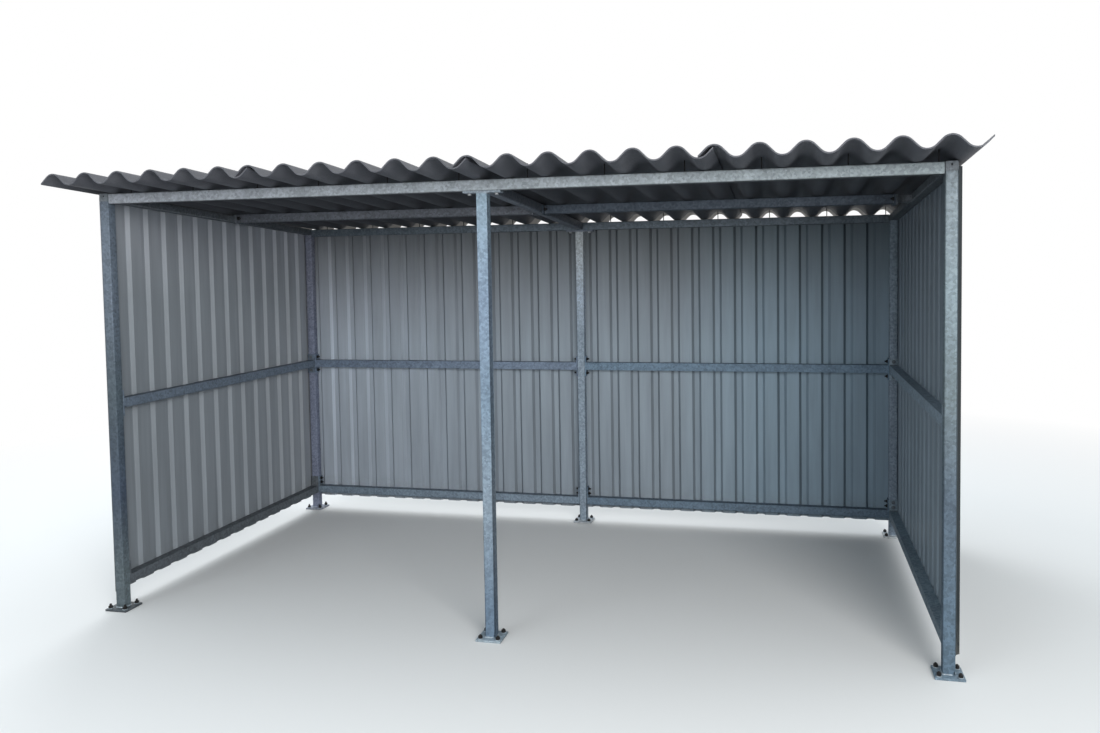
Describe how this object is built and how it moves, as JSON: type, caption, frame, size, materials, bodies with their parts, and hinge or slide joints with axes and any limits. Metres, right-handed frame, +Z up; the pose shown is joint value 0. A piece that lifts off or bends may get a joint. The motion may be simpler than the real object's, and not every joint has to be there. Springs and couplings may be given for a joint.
{
  "type": "bike shelter",
  "caption": "Open-fronted lean-to bike shelter: galvanised square-tube frame on foot plates, ribbed steel cladding on the back and sides, corrugated fibre-cement roof.",
  "frame": {"origin": "on the ground, under the middle of the roof's outline", "axes": "+X to the right along the open front, +Y in from the open front to the back wall, +Z up"},
  "size_m": [4.201, 2.4396, 2.2014],
  "materials": {
    "galvanised": "hot-dip galvanised, weathered matt with mottled spangle",
    "cladding": "grey coil-coated steel sheet, satin",
    "roof_cement": "dark weathered fibre cement, matt"
  },
  "bodies": {
    "root": {"centre_rafter": "galvanised", "front_beam": "galvanised", "front_left_post": "galvanised", "front_middle_post": "galvanised", "front_right_post": "galvanised", "left_bottom_rail": "galvanised", "left_eave_rail": "galvanised", "left_middle_rail": "galvanised", "left_purlin": "galvanised", "left_wall_sheet_1": "cladding", "left_wall_sheet_2": "cladding", "rear_beam": "galvanised", "rear_left_bottom_rail": "galvanised", "rear_left_middle_rail": "galvanised", "rear_left_post": "galvanised", "rear_middle_post": "galvanised", "rear_right_bottom_rail": "galvanised", "rear_right_middle_rail": "galvanised", "rear_right_post": "galvanised", "rear_wall_sheet_1": "cladding", "rear_wall_sheet_2": "cladding", "rear_wall_sheet_3": "cladding", "rear_wall_sheet_4": "cladding", "right_bottom_rail": "galvanised", "right_eave_rail": "galvanised", "right_middle_rail": "galvanised", "right_purlin": "galvanised", "right_wall_sheet_1": "cladding", "right_wall_sheet_2": "cladding", "roof_sheet_1": "roof_cement", "roof_sheet_2": "roof_cement", "roof_sheet_3": "roof_cement", "roof_sheet_4": "roof_cement"}
  },
  "joints": []
}
